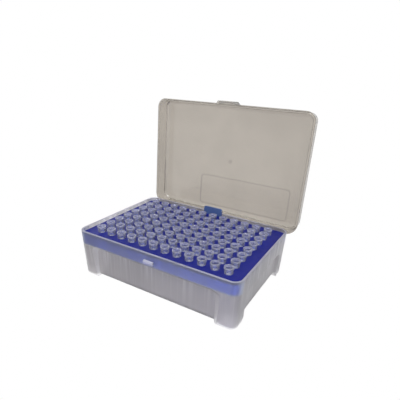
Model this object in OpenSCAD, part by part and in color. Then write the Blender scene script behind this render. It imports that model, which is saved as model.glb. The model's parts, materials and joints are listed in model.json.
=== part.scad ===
// Hinged rack box for 96 small pipette tips: a tub on four corner feet, a loose perforated
// tray, the tips that hang in it and a shallow lid on two pin hinges, standing open.
// Sizes are in mm, +Z is up, +Y points to the hinge side. The origin is on the bench, midway
// between the foremost and the rearmost point of the open box.

/* [Grid of tips] */
// Distance from one tip to the next
pitch = 9; // [8.9:0.05:9.1]
// Tips along the width
columns = 12; // [12:1:12]
// Tips along the depth
rows = 8; // [8:1:8]

/* [Base] */
// Width over the rim
base_w = 123.4; // [118:0.1:150]
// Depth over the rim
base_d = 85.3; // [83:0.1:105]
// Height from the feet to the rim
base_h = 33.6; // [33:0.1:60]
// Wall thickness
base_wall = 1.4; // [1:0.05:2]
// Draft of the walls, in degrees
base_draft = 2.7; // [0:0.1:4]
// Outer corner radius at the rim
base_corner_r = 6.5; // [5:0.1:9]
// Rounding of the outer edge under the feet
foot_edge_r = 1.2; // [0.4:0.1:2]
// Height of the floor above the bench
floor_z = 2.8; // [2:0.1:4]
// Floor thickness
floor_t = 1.2; // [0.8:0.05:1.6]
// Width of the opening between two feet, seen from the front
foot_gap_w = 92.6; // [80:0.1:94]

/* [Base panels and grips] */
// Distance from the rim down to the sunk front and back panels' flat face
panel_drop = 11; // [10.6:0.1:16]
// Depth of these panels' face behind the rim's front line
panel_depth = 2.55; // [2.1:0.05:3.1]
// Corner radius of the sunk panels
panel_r = 3.5; // [2:0.1:8]
// Distance from the rim down to the sunk side panels' flat face
side_drop = 14.4; // [11.6:0.1:22]
// Half length of a side panel's flat face
side_half = 26; // [20:0.1:29]
// Depth of the side panels' face behind the rim's side line
side_depth = 2.95; // [2.2:0.05:3.7]
// Corner radius of the side panels
side_r = 5; // [2:0.1:8]
// Widening of a panel's flanks per mm of depth
flank_slope = 1.9; // [0:0.1:2.2]
// Height of the arch under each side
grip_top = 5.4; // [4.5:0.1:8]
// Half length of the arch's flat top
grip_half_top = 20; // [12:0.1:24]
// Half length of the arch at the bench
grip_half_low = 30.8; // [26:0.1:31]
// Depth of the arch under a side, from the rim's side line to its inner wall
grip_depth = 8.2; // [5.7:0.1:9.2]

/* [Latch] */
// Width of the catch on the base's front
catch_w = 7.2; // [5:0.1:12]
// Distance from the rim down to the catch's lower edge
catch_drop = 7; // [5.6:0.1:7.6]
// Height of the catch
catch_h = 2.4; // [1.5:0.1:3]
// How far the catch stands out from the rim's front line
catch_out = 1.4; // [0.8:0.1:2]
// Width of the lid's latch flap at its root
flap_root_w = 16.6; // [12:0.1:24]
// Width of the flap at its tip
flap_tip_w = 13.2; // [9:0.1:20]
// How far the flap hangs below the lid's rim
flap_drop = 5.5; // [4:0.1:6]
// How far the flap stands out from the lid's front wall
flap_out = 2.6; // [1.8:0.1:3]
// Flap thickness
flap_t = 1.3; // [0.8:0.05:1.6]
// How far the flap's shoulder reaches up the lid's front wall
flap_rise = 3.4; // [2:0.1:5]
// Clearance between the flap's bead and the catch
latch_clear = 0.3; // [0.3:0.05:0.5]

/* [Tray] */
// Distance from the rim down to the tray's top
tray_drop = 2.15; // [1.8:0.05:3]
// Plate thickness
tray_t = 1.6; // [1:0.1:2.5]
// Height of the skirt, from its lower edge to the tray's top
tray_skirt_h = 7; // [6:0.1:7]
// Skirt thickness
tray_skirt_t = 1.2; // [0.8:0.05:1.6]
// How far the front and back skirts run along the sides past their corners
tray_skirt_end = 0.4; // [0:0.1:10]
// Clearance between the tray and the base's wall
tray_clear = 0.15; // [0.1:0.05:0.4]
// Clearance of a tip's shank in its hole
hole_clear = 0.2; // [0.1:0.05:0.3]
// Width of the grip tab at the back
tab_w = 15.8; // [10:0.1:24]
// Height of the tab above the tray
tab_h = 6.5; // [4:0.1:8]
// Tab thickness
tab_t = 1.3; // [0.8:0.05:2]
// Corner radius of the tab
tab_r = 1.5; // [0.5:0.1:3]
// Width of a snap nub inside the front wall
nub_w = 4; // [2:0.1:8]
// Distance of the nubs from the middle
nub_x = 20; // [10:0.5:50]
// How far a nub stands out from the wall
nub_out = 0.6; // [0.3:0.05:0.8]
// Height of a nub
nub_h = 1.4; // [1.3:0.05:1.6]
// Distance from the rim down to the nubs' top
nub_drop = 0.2; // [0.1:0.05:0.4]

/* [Tips] */
// Height of the collar above the tray
collar_h = 4.25; // [3:0.05:6]
// Width of the ring round the mouth
ring_wall = 0.75; // [0.6:0.05:0.9]
// Height of the ring
ring_h = 1.5; // [0.8:0.1:2.5]
// Step from the shank out to the collar between the fins
collar_step = 0.15; // [0.1:0.05:0.2]
// How far the fins reach out past the rim of their hole
fin_out = 0.25; // [0.15:0.05:0.4]
// Fins on a collar
fin_count = 8; // [6:1:16]
// Thickness of a fin
fin_t = 0.7; // [0.3:0.05:0.9]
// Length of a tip
tip_len = 31.1; // [30:0.1:31.4]
// Radius of the shank just under the collar
shank_r = 2.25; // [2:0.05:2.35]
// Distance from the mouth down to where the shank starts to narrow
shoulder_len = 9.5; // [8:0.1:12]
// How much smaller its radius is there
shoulder_step = 0.25; // [0.1:0.05:0.4]
// Distance from the mouth down to the start of the slender end
waist_len = 15.5; // [14:0.1:18]
// How much smaller its radius is there
waist_step = 0.8; // [0.6:0.05:1]
// Wall thickness of the shank
tip_wall = 0.45; // [0.3:0.01:0.6]
// Wall between the collar and the funnel's throat
throat_wall = 0.35; // [0.25:0.05:0.5]
// How far the funnel widens from its throat to the mouth
mouth_flare = 0.25; // [0.1:0.05:0.35]
// Depth of the funnel
funnel_len = 1.2; // [0.8:0.1:2]
// Outer radius of the point
point_r = 0.42; // [0.3:0.01:0.6]
// Bore radius at the point
point_bore_r = 0.22; // [0.1:0.01:0.3]

/* [Lid] */
// Clearance between the base's rim and the lid's side walls
lid_gap_side = 1.5; // [0.4:0.1:2]
// Clearance between the base's rim and the lid's back wall
lid_gap_back = 0.3; // [0.3:0.05:0.6]
// Clearance between the base's rim and the lid's front wall
lid_gap_front = 0.45; // [0.4:0.05:0.8]
// Depth of the lid over all
lid_h = 12.3; // [10:0.1:20]
// Wall thickness
lid_wall = 1.15; // [0.9:0.05:1.6]
// Plate thickness
lid_t = 1.2; // [0.9:0.05:1.6]
// Draft of the lid's walls, in degrees
lid_draft = 2; // [0:0.1:4]
// Corner radius at the front
lid_front_r = 6.5; // [6:0.1:12]
// Corner radius at the hinge side
lid_back_r = 8.5; // [6:0.1:12]
// Rounding of the lid's outer top edge
lid_edge_r = 0.8; // [0.4:0.1:1]
// Fillet inside, between wall and plate
lid_fillet_r = 3.3; // [1:0.1:4]
// Height of the lid's rim band
band_h = 1.6; // [1:0.1:3]
// How far the rim band stands out
band_out = 0.6; // [0.3:0.05:1]
// How far the closed lid reaches down over the base's rim
lid_overlap = 3.2; // [2:0.1:4]
// Width of the label frame on the lid
label_w = 79; // [40:1:90]
// Distance of the frame's middle from the lid's middle
label_x = 13.5; // [-15:0.5:15]
// Depth of the label frame
label_d = 26; // [15:1:40]
// Distance of the label frame from the lid's hinge edge
label_back = 4.5; // [3:0.5:12]
// Outer corner radius of the frame
label_r = 3; // [1:0.1:6]
// Width of the frame's line
label_line = 0.9; // [0.5:0.1:2]
// Height of the frame's line
label_h = 0.35; // [0.2:0.05:0.6]
// Radius of the moulding mark in the middle of the lid
gate_r = 1.6; // [1:0.1:3]

/* [Hinge] */
// Angle between the closed and the open lid, in degrees
open_angle = 93.5; // [85:0.5:110]
// Distance of the hinge axis behind the base's rim
axis_back = 3.15; // [3:0.05:4]
// Distance from the rim down to the hinge axis
axis_drop = 8.55; // [8:0.05:9.1]
// Radius of the hinge pins
pin_r = 1.5; // [1:0.05:2]
// Radial clearance of the pins in their holes
pin_clear = 0.06; // [0.02:0.01:0.1]
// Distance from the middle to the middle of a hinge
hinge_x = 51; // [49:0.5:51.5]
// Width of a lid arm
arm_w = 5; // [3:0.5:8]
// Radius of the arm around the pin
arm_r = 2.6; // [2.2:0.05:2.8]
// Thickness of a cheek on the base
cheek_t = 2; // [1.5:0.1:3]
// Radius of a cheek around the pin
cheek_r = 3; // [2.6:0.1:3]
// Side clearance between an arm and its cheeks
cheek_clear = 0.3; // [0.2:0.05:0.5]
// Clearance between the arm's heel and the base's wall that stops the open lid
heel_clear = 0.1; // [0.05:0.01:0.2]
// How far the arm reaches up the lid's back wall
arm_rise = 8; // [5:0.5:10]

/* [Hidden] */

// Facets of a full turn: corner posts, and everything that stays a true round
post_fn = 48;
round_fn = 64;
// Overshoot of a cut past a face, and the depth of a joint between two joined shapes
cut = 1;
bite = 0.5;
// Small slopes that break an edge: on a nub, on the catch, on the flap, on a tip's ring
nub_ease = 0.4;
catch_ease = 0.5;
flap_ease = 0.4;
lip = 0.15;
// Rise of the shelf behind a sunk panel above the panel's flat face
panel_shelf_rise = 1.8;
side_shelf_rise = 2.3;

// Base: half sizes, and the run of the draft over the height
hw = base_w / 2;
hd = base_d / 2;
slope = tan(base_draft);
post_x = hw - base_corner_r;
post_y = hd - base_corner_r;
foot_r = base_corner_r - base_h * slope;
floor_top = floor_z + floor_t;
housing_t = 1.3;
thin = 0.01;
panel_y = hd - panel_depth;
panel_top = base_h - panel_drop;
side_x = hw - side_depth;
side_top = base_h - side_drop;
grip_x = hw - grip_depth;
catch_z = base_h - catch_drop;
// Flanks: the walls' draft down to where they begin, their width there, and the shelves inside
flank_run = 20 * slope;
panel_flank = (panel_depth - flank_run) * flank_slope;
side_flank = (side_depth - flank_run) * flank_slope;
panel_shelf = panel_top + panel_shelf_rise;
side_shelf = side_top + side_shelf_rise;

// Tips: the rounds that fit the tray's holes
hole_r = shank_r + hole_clear;
collar_r = shank_r + collar_step;
funnel_r = collar_r - throat_wall;
mouth_r = funnel_r + mouth_flare;
ring_r = mouth_r + ring_wall;
shoulder_r = shank_r - shoulder_step;
waist_r = shank_r - waist_step;
fin_low_r = hole_r + fin_out;

// Tray
tray_top = base_h - tray_drop;
tray_low = tray_top - tray_skirt_h;
tray_r = base_corner_r - tray_drop * slope - base_wall - tray_clear;
tray_low_r = tray_r - tray_skirt_h * slope;
side_open = post_y - tray_skirt_end;
tab_y = post_y + tray_r - tab_t - tray_clear;

// Lid, closed: inside and outside limits
lid_rim_z = base_h - lid_overlap;
lid_back_y = hd + lid_gap_back + lid_wall;
lid_front_y = -(hd + lid_gap_front + lid_wall);
lid_hw = hw + lid_gap_side + lid_wall;
lid_top_z = lid_rim_z + lid_h;
lid_slope = tan(lid_draft);

// Hinge
axis_y = hd + axis_back;
axis_z = base_h - axis_drop;
wall_y_at_axis = hd - axis_drop * slope;
heel_reach = axis_y - wall_y_at_axis - heel_clear;

// Rearmost point of the open lid, foremost point of the base, and the shift to the origin
lid_edge_y = lid_front_y + lid_h * lid_slope + lid_edge_r;
rear_y = axis_y + (lid_edge_y - axis_y) * cos(open_angle) + (lid_top_z - axis_z) * sin(open_angle);
catch_y = hd + catch_out;
origin_y = (rear_y - catch_y) / 2;

// Quarter arc of radius r in four steps, from angle a0, around (x, y)
function quarter(x, y, r, a0) = [for (i = [0:4]) [x + r * cos(a0 + i * 22.5), y + r * sin(a0 + i * 22.5)]];

// Shape with square lower and round upper corners, upright in X and Z, reaching from y0 to y1
module arch(half_w, z0, z1, r, y0, y1) {
    translate([0, y1, 0])
    rotate([90, 0, 0])
    linear_extrude(y1 - y0)
    union() {
        translate([-half_w, z0]) square([2 * half_w, z1 - r - z0]);
        translate([-half_w + r, z0]) square([2 * (half_w - r), z1 - z0]);
        for (s = [-1, 1]) translate([s * (half_w - r), z1 - r]) circle(r, $fn = round_fn);
    }
}

// Rectangle of w by d around the origin with round corners
module round_rect(w, d, r) {
    square([w - 2 * r, d], center = true);
    square([w, d - 2 * r], center = true);
    for (sx = [-1, 1], sy = [-1, 1])
        translate([sx * (w / 2 - r), sy * (d / 2 - r)]) circle(r, $fn = round_fn);
}

// A Y-Z outline drawn out along X from x0 to x1
module along_x(x0, x1) {
    translate([x0, 0, 0])
    rotate([90, 0, 90])
    linear_extrude(x1 - x0)
    children();
}

// Body of the tub with no hollow
module base_block() {
    profile = concat(
        [[0, 0]],
        quarter(foot_r - foot_edge_r, foot_edge_r, foot_edge_r, -90),
        [[base_corner_r, base_h], [0, base_h]]);
    hull()
    for (sx = [-1, 1], sy = [-1, 1])
    translate([sx * post_x, sy * post_y, 0])
    rotate_extrude($fn = post_fn) polygon(profile);
}

// Everything inside the tub's walls, down to the feet's own floors
module base_inside() {
    r0 = foot_r - base_wall + floor_t * slope;
    r1 = base_corner_r - base_wall + cut * slope;
    hull()
    for (sx = [-1, 1], sy = [-1, 1])
    translate([sx * post_x, sy * post_y, floor_t])
    cylinder(h = base_h + cut - floor_t, r1 = r0, r2 = r1, $fn = post_fn);
}

// Outline of the arch under a side, grown by g; its ends are quarter ellipses
module grip_outline(g) {
    run = grip_half_low - grip_half_top;
    end = [for (i = [0:6]) [grip_half_top + (run + g) * cos(i * 15), (grip_top + g) * sin(i * 15)]];
    polygon(concat([[-grip_half_low - g, -cut], [grip_half_low + g, -cut]], end,
        [for (i = [6:-1:0]) [-end[i][0], end[i][1]]]));
}

// Sunk panel in a wall at +Y: flat face at y0, flanks that open outwards
module panel_cut(half_w, top, r, y0, far) {
    out = far - y0;
    hull() {
        arch(half_w, -cut, top, r, y0, y0 + thin);
        arch(half_w + out * flank_slope, -cut, top + out, r + out, far - thin, far);
    }
}

// What is taken from the tub's outside
module base_cuts() {
    for (turn = [0, 180]) rotate([0, 0, turn])
        panel_cut(foot_gap_w / 2, panel_top, panel_r, panel_y, hd + cut);
    for (turn = [90, 270]) rotate([0, 0, turn])
        panel_cut(side_half, side_top, side_r, side_x, hw + cut);
    translate([0, hd + cut, 0])
    rotate([90, 0, 0])
    linear_extrude(base_d + 2 * cut)
    polygon([[-foot_gap_w / 2, floor_z], [-foot_gap_w / 2, foot_edge_r],
        [-foot_gap_w / 2 - foot_edge_r - cut, -cut], [foot_gap_w / 2 + foot_edge_r + cut, -cut],
        [foot_gap_w / 2, foot_edge_r], [foot_gap_w / 2, floor_z]]);
    intersection() {
        along_x(-hw - cut, hw + cut) grip_outline(0);
        translate([-hw - cut, -hd, -cut]) cube([base_w + 2 * cut, base_d, floor_z + cut]);
    }
    for (side = [0, 1]) mirror([side, 0, 0]) along_x(grip_x, hw + cut) grip_outline(0);
}

// What fills the tub's inside: floor, housings of the arches and backs of the panels
module base_fill() {
    foot_x = foot_gap_w / 2 + panel_flank;
    foot_y = side_half + side_flank;
    difference() {
        translate([-hw, -hd, 0]) cube([base_w, base_d, floor_top]);
        for (sx = [0, 1], sy = [0, 1]) mirror([sx, 0, 0]) mirror([0, sy, 0])
            translate([foot_x, foot_y, 0]) cube([hw, hd, base_h]);
    }
    for (side = [0, 1]) mirror([side, 0, 0]) along_x(grip_x - housing_t, hw) grip_outline(housing_t);
    for (turn = [0, 180]) rotate([0, 0, turn])
        arch(foot_x, 0, panel_shelf, panel_r + housing_t, panel_y - base_wall, hd);
    for (turn = [90, 270]) rotate([0, 0, turn])
        arch(foot_y, 0, side_shelf, side_r + housing_t, side_x - base_wall, hw);
}

// Catch on the front wall, flat below and sloping above
module base_catch() {
    root = -(hd - catch_drop * slope - bite);
    top_z = catch_z + catch_h;
    along_x(-catch_w / 2, catch_w / 2)
    polygon([[root, catch_z], [-catch_y, catch_z], [-catch_y, top_z - 2.5 * catch_ease],
        [-catch_y + catch_ease, top_z - catch_ease], [root, top_z]]);
}

// Two nubs under the rim that hold the tray down
module base_nubs() {
    root = -(hd - base_wall) - bite;
    face = root + bite + nub_out;
    top = base_h - nub_drop;
    for (s = [-1, 1])
    along_x(s * nub_x - nub_w / 2, s * nub_x + nub_w / 2)
    polygon([[root, top], [face - nub_ease, top - nub_ease], [face, top - 2 * nub_ease],
        [face, top - 3 * nub_ease], [root, top - nub_h]]);
}

// Four cheeks on the back wall that carry the hinge pins
module base_cheeks() {
    for (s = [-1, 1], c = [-1, 1])
    let (x = s * hinge_x + c * (arm_w / 2 + cheek_clear + cheek_t / 2))
    along_x(x - cheek_t / 2, x + cheek_t / 2)
    union() {
        translate([axis_y, axis_z]) circle(cheek_r, $fn = round_fn);
        polygon([[wall_y_at_axis - bite, axis_z - cheek_r + 0.5], [axis_y, axis_z - cheek_r],
            [axis_y, axis_z + cheek_r], [wall_y_at_axis - bite, axis_z + cheek_r]]);
    }
}

// Bores in the cheeks
module base_bores() {
    reach = arm_w / 2 + cheek_clear + cheek_t + cut;
    for (s = [-1, 1])
    translate([s * hinge_x - reach, axis_y, axis_z])
    rotate([0, 90, 0])
    cylinder(h = 2 * reach, r = pin_r + pin_clear, $fn = round_fn);
}

module base() {
    color([0.72, 0.72, 0.76, 0.5])
    translate([0, -origin_y, 0])
    difference() {
        union() {
            difference() {
                base_block();
                base_cuts();
            }
            base_catch();
            base_cheeks();
        }
        difference() {
            base_inside();
            base_fill();
            base_nubs();
        }
        base_bores();
    }
}

// Corner posts of the tray, hulled; shrunk by g
module tray_block(g, z0, z1) {
    r0 = tray_low_r - g + (z0 - tray_low) * slope;
    r1 = tray_low_r - g + (z1 - tray_low) * slope;
    hull()
    for (sx = [-1, 1], sy = [-1, 1])
    translate([sx * post_x, sy * post_y, z0])
    cylinder(h = z1 - z0, r1 = r0, r2 = r1, $fn = post_fn);
}

module tray() {
    color([0.13, 0.13, 0.55])
    translate([0, -origin_y, 0])
    difference() {
        union() {
            tray_block(0, tray_low, tray_top);
            arch(tab_w / 2, tray_top - tray_t, tray_top + tab_h, tab_r, tab_y, tab_y + tab_t);
        }
        tray_block(tray_skirt_t, tray_low - cut, tray_top - tray_t);
        translate([-hw, -side_open, tray_low - cut])
        cube([2 * hw, 2 * side_open, tray_skirt_h - tray_t + cut]);
        for (i = [0:columns - 1], j = [0:rows - 1])
            translate([(i - (columns - 1) / 2) * pitch, (j - (rows - 1) / 2) * pitch, tray_top - tray_t - cut])
            cylinder(h = tray_t + 2 * cut, r = hole_r, $fn = round_fn);
    }
}

// One tip, point down, with its mouth at z = 0
module tip() {
    fin_bite = 0.1;
    fin_root = collar_r - fin_bite;
    union() {
        rotate_extrude($fn = round_fn)
        polygon([
            [mouth_r, 0], [ring_r - lip, 0], [ring_r, -lip], [ring_r, lip - ring_h],
            [ring_r - lip, -ring_h], [collar_r, -ring_h], [collar_r, -collar_h],
            [shank_r, -collar_h], [shoulder_r, -shoulder_len], [waist_r, -waist_len],
            [point_r, -tip_len], [point_bore_r, -tip_len], [waist_r - tip_wall, -waist_len],
            [shoulder_r - tip_wall, -shoulder_len], [funnel_r, -funnel_len]]);
        for (k = [0:fin_count - 1])
        rotate([90, 0, (k + 0.5) * 360 / fin_count])
        translate([0, 0, -fin_t / 2])
        linear_extrude(fin_t)
        polygon([[fin_root, fin_bite - ring_h], [ring_r - lip - fin_bite, fin_bite - ring_h],
            [fin_low_r, -collar_h], [fin_root, -collar_h]]);
    }
}

// Half of a column: four tips, from row j0 on
module tips(i, j0) {
    color([0.78, 0.78, 0.86, 0.6])
    for (j = [j0:j0 + rows / 2 - 1])
        translate([(i - (columns - 1) / 2) * pitch, (j - (rows - 1) / 2) * pitch - origin_y, tray_top + collar_h])
        tip();
}

// Corner posts of the closed lid, hulled: outline grown by g, drawn from the given profile
module lid_posts(g) {
    front_y = lid_front_y + lid_front_r;
    back_y = lid_back_y - lid_back_r;
    hull()
    for (s = [-1, 1]) {
        translate([s * (lid_hw - lid_front_r), front_y, lid_rim_z]) lid_post(lid_front_r, g);
        translate([s * (lid_hw - lid_back_r), back_y, lid_rim_z]) lid_post(lid_back_r, g);
    }
}

// One corner post: g = 0 gives the outside, g = 1 the inside, g = 2 the rim band
module lid_post(r, g) {
    top_r = r - lid_h * lid_slope;
    in_h = lid_h - lid_t;
    in_r = r - lid_wall - in_h * lid_slope;
    outside = concat([[0, 0], [r, 0]],
        quarter(top_r - lid_edge_r, lid_h - lid_edge_r, lid_edge_r, 0), [[0, lid_h]]);
    inside = concat([[0, -cut], [r - lid_wall + cut * lid_slope, -cut]],
        quarter(in_r - lid_fillet_r, in_h - lid_fillet_r, lid_fillet_r, 0), [[0, in_h]]);
    band = [[0, 0], [r + band_out - 0.2, 0], [r + band_out, 0.2],
        [r + band_out, band_h - 0.2], [r + band_out - 0.2, band_h], [0, band_h]];
    rotate_extrude($fn = post_fn) polygon(g == 0 ? outside : g == 1 ? inside : band);
}

// Flap on the lid's front, with the bead that passes below the catch; its ends slant inwards
module lid_flap() {
    face = lid_front_y - flap_out;
    back = face + flap_t;
    root = lid_front_y + bite;
    tip_z = lid_rim_z - flap_drop;
    top_z = lid_rim_z + flap_rise;
    low = flap_ease;
    bead = -(catch_y + latch_clear);
    intersection() {
        along_x(-flap_root_w / 2, flap_root_w / 2)
        polygon([[root, top_z], [lid_front_y, top_z], [face + low, top_z - 4 * low],
            [face, lid_rim_z + 2 * low], [face, tip_z + low], [face + low, tip_z], [bead - low, tip_z],
            [bead, tip_z + low], [bead, tip_z + 2 * low], [back, tip_z + 3 * low],
            [back, lid_rim_z - low], [back + low, lid_rim_z], [root, lid_rim_z]]);
        translate([0, 0, tip_z - cut])
        linear_extrude(top_z - tip_z + 2 * cut)
        polygon([[-flap_root_w / 2, root], [flap_root_w / 2, root], [flap_root_w / 2, lid_front_y],
            [flap_tip_w / 2, face], [-flap_tip_w / 2, face], [-flap_root_w / 2, lid_front_y]]);
    }
}

// Two arms with their pins; the heel below each pin meets the base's wall when the lid is open
module lid_arms() {
    inner = axis_y - arm_r;
    outer = axis_y + arm_r;
    for (s = [-1, 1]) {
        along_x(s * hinge_x - arm_w / 2, s * hinge_x + arm_w / 2)
        union() {
            translate([axis_y, axis_z]) circle(arm_r, $fn = round_fn);
            polygon([[axis_y, axis_z - heel_reach], [outer, axis_z - heel_reach], [outer, lid_rim_z],
                [lid_back_y, lid_rim_z + arm_rise], [lid_back_y - bite, lid_rim_z + arm_rise],
                [inner, lid_rim_z + 1], [inner, axis_z], [axis_y, axis_z]]);
        }
        translate([s * hinge_x - arm_w / 2 - cheek_clear - cheek_t, axis_y, axis_z])
        rotate([0, 90, 0])
        cylinder(h = arm_w + 2 * cheek_clear + 2 * cheek_t, r = pin_r, $fn = round_fn);
    }
}

// Raised frame for a label and the round moulding mark, on the lid's top
module lid_marks() {
    y0 = lid_back_y - label_back - label_d / 2;
    translate([0, 0, lid_top_z - bite]) {
        translate([label_x, y0, 0])
        linear_extrude(bite + label_h)
        difference() {
            round_rect(label_w, label_d, label_r);
            round_rect(label_w - 2 * label_line, label_d - 2 * label_line, label_r - label_line);
        }
        translate([0, (lid_back_y + lid_front_y) / 2, 0]) cylinder(h = bite + label_h, r = gate_r, $fn = round_fn);
    }
}

module lid_closed() {
    union() {
        difference() {
            union() {
                lid_posts(0);
                lid_posts(2);
                lid_arms();
            }
            lid_posts(1);
        }
        lid_flap();
        lid_marks();
    }
}

module lid() {
    color([0.75, 0.73, 0.7, 0.5])
    translate([0, axis_y - origin_y, axis_z])
    rotate([-open_angle, 0, 0])
    translate([0, -axis_y, -axis_z])
    lid_closed();
}

base();
tray();
lid();
tips(0, 0);  // tips_01_front
tips(0, 4);  // tips_01_back
tips(1, 0);  // tips_02_front
tips(1, 4);  // tips_02_back
tips(2, 0);  // tips_03_front
tips(2, 4);  // tips_03_back
tips(3, 0);  // tips_04_front
tips(3, 4);  // tips_04_back
tips(4, 0);  // tips_05_front
tips(4, 4);  // tips_05_back
tips(5, 0);  // tips_06_front
tips(5, 4);  // tips_06_back
tips(6, 0);  // tips_07_front
tips(6, 4);  // tips_07_back
tips(7, 0);  // tips_08_front
tips(7, 4);  // tips_08_back
tips(8, 0);  // tips_09_front
tips(8, 4);  // tips_09_back
tips(9, 0);  // tips_10_front
tips(9, 4);  // tips_10_back
tips(10, 0);  // tips_11_front
tips(10, 4);  // tips_11_back
tips(11, 0);  // tips_12_front
tips(11, 4);  // tips_12_back
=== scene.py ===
import json
import math

import bmesh
import bpy
from bpy.props import FloatProperty, FloatVectorProperty, IntProperty, PointerProperty
from mathutils import Euler, Matrix, Vector


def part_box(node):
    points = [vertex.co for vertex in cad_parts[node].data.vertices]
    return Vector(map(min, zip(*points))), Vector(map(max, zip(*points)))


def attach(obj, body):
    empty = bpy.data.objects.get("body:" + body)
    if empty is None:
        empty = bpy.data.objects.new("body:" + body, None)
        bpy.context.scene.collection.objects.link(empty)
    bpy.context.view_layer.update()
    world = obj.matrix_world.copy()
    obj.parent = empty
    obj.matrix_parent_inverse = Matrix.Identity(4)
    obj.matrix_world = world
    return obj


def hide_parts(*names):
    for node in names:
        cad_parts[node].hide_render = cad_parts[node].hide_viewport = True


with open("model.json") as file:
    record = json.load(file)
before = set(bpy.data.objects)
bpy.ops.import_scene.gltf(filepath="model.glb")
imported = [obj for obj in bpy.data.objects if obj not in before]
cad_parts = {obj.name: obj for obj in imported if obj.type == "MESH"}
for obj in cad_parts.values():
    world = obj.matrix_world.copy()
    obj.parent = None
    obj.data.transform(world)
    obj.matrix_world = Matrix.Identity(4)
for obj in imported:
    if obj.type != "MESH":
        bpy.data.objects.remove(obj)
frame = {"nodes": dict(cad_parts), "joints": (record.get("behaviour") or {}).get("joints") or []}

bl_info = {
    "name": "Pipette tip box",
    "version": (1, 0, 0),
    "blender": (4, 5, 0),
    "location": "View3D > Sidebar > Tip Box",
    "description": "Hinged rack box of pipette tips: tub, tray, tips and open lid, with finishes",
    "category": "Object",
}

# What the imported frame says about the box: the base's corners, the tab's top and the hinge
BASE_LOW, BASE_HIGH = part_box("base")
TAB_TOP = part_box("tray")[1].z
HINGE = Vector(frame["joints"][0]["pos_m"])
OPEN_ANGLE = math.radians(frame["joints"][0]["range_deg"][1])
TIP_NODES = sorted(n for n in frame["nodes"] if n.startswith("tips_"))
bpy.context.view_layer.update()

# Overshoot of a cut past a face, and the depth to which two joined shapes run into each other
CUT = 0.001
BITE = 0.0005

# Inside the base: the material round its arches, how far the shelves behind the front and side panels
# lie above the panels' tops, and the height at which the width of their flanks is worked out
HOUSING = 0.0013
PANEL_SHELF, SIDE_SHELF = 0.0018, 0.0023
FLANK_HEIGHT = 0.020

# Slopes that break the edges of the catch, the nubs and the lid's rim band, and the nubs' drop
CATCH_EASE, NUB_EASE, BAND_EASE = 0.0005, 0.0004, 0.0002
NUB_DROP = 0.0002

# Points nearer than this are merged after the cuts, and flatter edges than this are dissolved
MERGE = 2e-6
FLAT_EDGE = math.radians(0.6)

# Edges sharper than this are rounded, in so many steps
ROUNDED_EDGE = math.radians(20)
ROUNDING_STEPS = 2

# Edges of a tip sharper than this stay sharp
SHARP_EDGE = math.radians(35)

# Points round a hole of the tray, and round a pin, a bore and the moulding mark; steps of an arch's
# corner
HOLE_POINTS, DISC_POINTS = 40, 24
ARCH_STEPS = 12

# Material places of a moulding: its walls, its edges, and a third for flanks or marks
WALLS, EDGES, THIRD = range(3)

# How the base's faces are told apart: how near and how level a face of the rim lies, how a face on
# a panel's border looks forward, aslant and not up, and how far the feet's edges reach over the arch
RIM_NEAR, RIM_LEVEL = 1e-5, 0.9
FORWARD, ASLANT, NOT_UP = -0.2, 0.3, 0.1
FOOT_REACH = 2e-3

# Width over which one colour of a moulding gives way to the next
SOFT_LINE = 0.0002

# Refraction of the clear plastics, and the part of a noise's range that is spread out
PLASTIC_IOR = 1.49
NOISE_MIDDLE = (0.3, 0.7)

# Roughness of the milky mouldings, and how far it goes up and down; from smoothest to roughest on
# the tray and on the tips
BASE_ROUGH, RIM_ROUGH, LID_ROUGH, EDGE_ROUGH = 0.40, 0.32, 0.16, 0.12
ROUGH_SWING = 0.04
TRAY_ROUGH, TIP_ROUGH = (0.34, 0.46), (0.05, 0.12)

# Scales of the noise in each plastic, for its haze and for its gloss
BASE_GRAIN, LID_GRAIN = (35.0, 120.0), (28.0, 90.0)
TRAY_GRAIN, TIP_GRAIN = (90.0, 400.0), (300.0, 900.0)

# The base's painted light streaks, standing for the lit tips seen through its walls, and the patches
# that hold them: scale, detail and stretch of their noise, narrow across the wall and long down it, and
# the part of its range over which they come up
STREAKS, STREAK_RISE = (520.0, 1.0, (1.0, 1.0, 0.03)), (0.48, 0.66)
PATCHES, PATCH_RISE = (60.0, 1.0, (1.0, 1.0, 0.2)), (0.30, 0.60)

# The tray's fine surface: scale, strength and depth of its grain, and how little it mirrors
TRAY_BUMPS, BUMP_STRENGTH, BUMP_DEPTH = 700.0, 0.1, 0.0001
TRAY_SPECULAR = 0.25

# Shares of plain white on the floor and all round: what every ray meets, and what is added for the
# eye, and for mirrors and clear plastic. A sum over 1 counts as 1, so to the eye the floor is all white
WHITE = (1.0, 1.0, 1.0, 1.0)
WHITE_TO_ALL = 0.5
FLOOR_WHITE, ROOM_WHITE = (0.6, 0.85), (1.0, 1.0)

# The floor's half width, corner radius and roughness; the main light's aim; the camera's film and
# the nearest distance that it shows
FLOOR_HALF, FLOOR_CORNER, FLOOR_ROUGH = 3.0, 0.5, 0.9
KEY_AIM = (-0.22, 0.52, -0.8)
FILM_WIDTH = 36.0
NEAREST = 0.01


def length(name, description, default):
    return FloatProperty(name=name, description=description, default=default, min=0.0, precision=5,
                         unit="LENGTH")


def angle(name, description, degrees):
    return FloatProperty(name=name, description=description, default=math.radians(degrees),
                         subtype="ANGLE")


def share(name, description, default):
    return FloatProperty(name=name, description=description, default=default, min=0.0, max=1.0,
                         subtype="FACTOR")


def colour(name, description, default):
    return FloatVectorProperty(name=name, description=description, default=default, size=3, min=0.0,
                               max=1.0, subtype="COLOR")


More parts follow.
